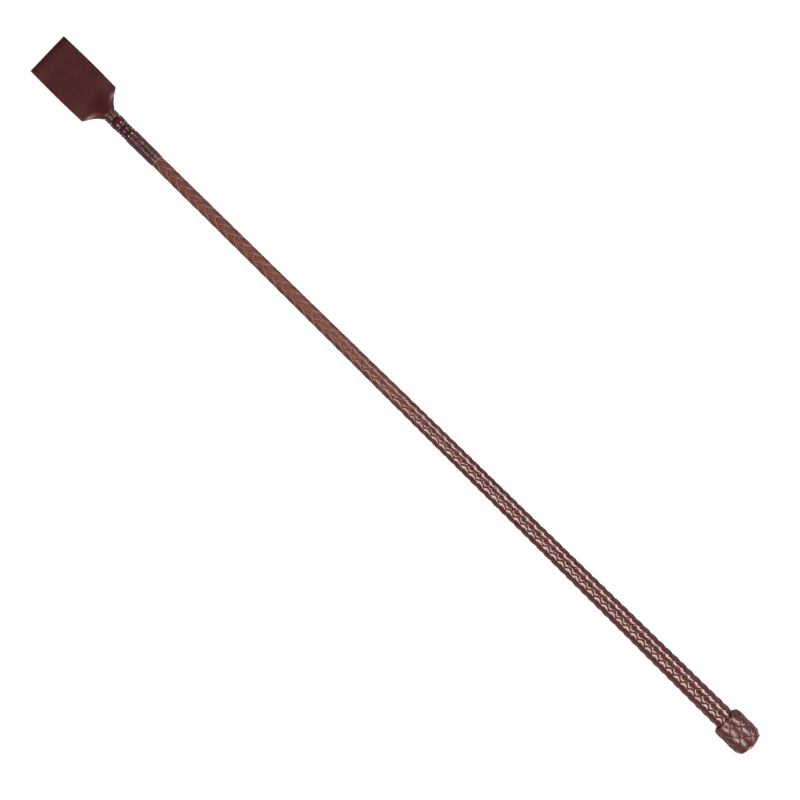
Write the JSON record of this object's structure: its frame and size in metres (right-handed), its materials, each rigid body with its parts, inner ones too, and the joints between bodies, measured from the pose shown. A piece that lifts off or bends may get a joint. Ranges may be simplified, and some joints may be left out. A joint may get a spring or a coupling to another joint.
{
  "type": "riding crop",
  "caption": "Riding crop: metal-domed woven knob, plaited leather handle and shaft, thread whippings and a folded leather keeper that flexes at its neck.",
  "frame": {"origin": "on the crop's axis at the tip of the butt dome", "axes": "+X along the axis towards the keeper, Y across the keeper, +Z out of the keeper's upper face"},
  "size_m": [0.65, 0.0322, 0.0216],
  "materials": {
    "rod": "matte",
    "belly": "matte",
    "former": "matte",
    "nickel": "polished",
    "knot_leather": "satin",
    "plait_leather": "glossy",
    "keeper_leather": "satin",
    "thread": "lacquered"
  },
  "bodies": {
    "crop": {"core_rod": "rod", "handle_buildup": "belly", "shaft_underlay": "belly", "butt_cap": "nickel", "knob_former": "former", "knot_foundation": "plait_leather", "butt_binding": "thread", "turks_head_knot": "knot_leather", "plait_strand_01": "plait_leather", "plait_strand_02": "plait_leather", "plait_strand_03": "plait_leather", "plait_strand_04": "plait_leather", "plait_strand_05": "plait_leather", "plait_strand_06": "plait_leather", "plait_strand_07": "plait_leather", "plait_strand_08": "plait_leather", "plait_strand_09": "plait_leather", "plait_strand_10": "plait_leather", "plait_strand_11": "plait_leather", "plait_strand_12": "plait_leather", "long_whipping": "thread", "thread_band_3": "thread", "thread_band_2": "thread", "thread_band_neck": "thread", "keeper_tail_upper": "keeper_leather", "keeper_tail_lower": "keeper_leather"},
    "keeper": {"keeper_flap": "keeper_leather"}
  },
  "joints": [
    {"name": "keeper_flex", "type": "hinge", "parent": "crop", "child": "keeper", "pos_m": [0.5941, 0, 0], "axis": [0, -1, 0], "range_deg": [-60, 60], "stiffness_Nm_per_rad": 0.02}
  ]
}
